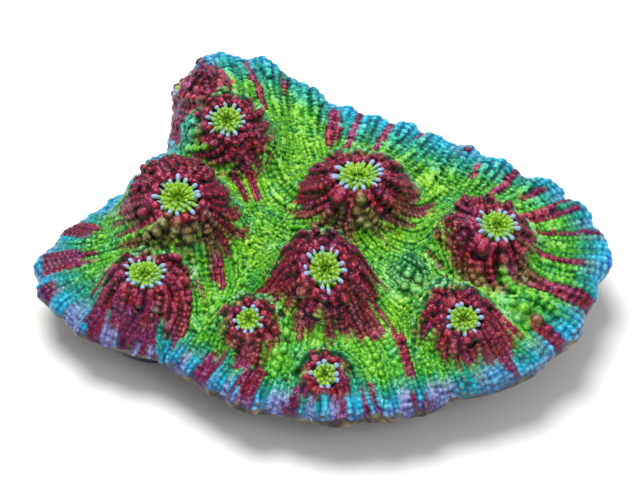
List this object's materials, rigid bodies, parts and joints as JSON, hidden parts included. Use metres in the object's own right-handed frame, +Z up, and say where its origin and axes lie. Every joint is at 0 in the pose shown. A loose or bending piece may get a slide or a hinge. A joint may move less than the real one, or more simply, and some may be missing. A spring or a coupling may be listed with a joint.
{
  "type": "chalice coral",
  "caption": "Plating coral colony with raised corallites, a drooping rim and soft polyps, cut flat underneath to rest on a surface.",
  "frame": {"origin": "centre of the flat cut that the colony rests on", "axes": "+Z up out of the cut; +X along the colony's longest side; -Y towards its low front, with the raised wing at back left (-X, +Y)"},
  "size_m": [0.1203, 0.1033, 0.032],
  "materials": {
    "coral_tissue": "wet, glossy living tissue over a stony skeleton; beaded, in green, dark red, cyan and violet",
    "polyp_flesh": "soft, wet, translucent flesh; yellow-green with pale blue tentacle tips"
  },
  "bodies": {
    "root": {"plate": "coral_tissue", "polyp_wing_edge": "polyp_flesh", "polyp_wing": "polyp_flesh", "polyp_left": "polyp_flesh", "polyp_back": "polyp_flesh", "polyp_middle": "polyp_flesh", "polyp_right": "polyp_flesh", "polyp_front_left": "polyp_flesh", "polyp_front_small": "polyp_flesh", "polyp_front_smallest": "polyp_flesh", "polyp_front_right": "polyp_flesh"}
  },
  "joints": []
}
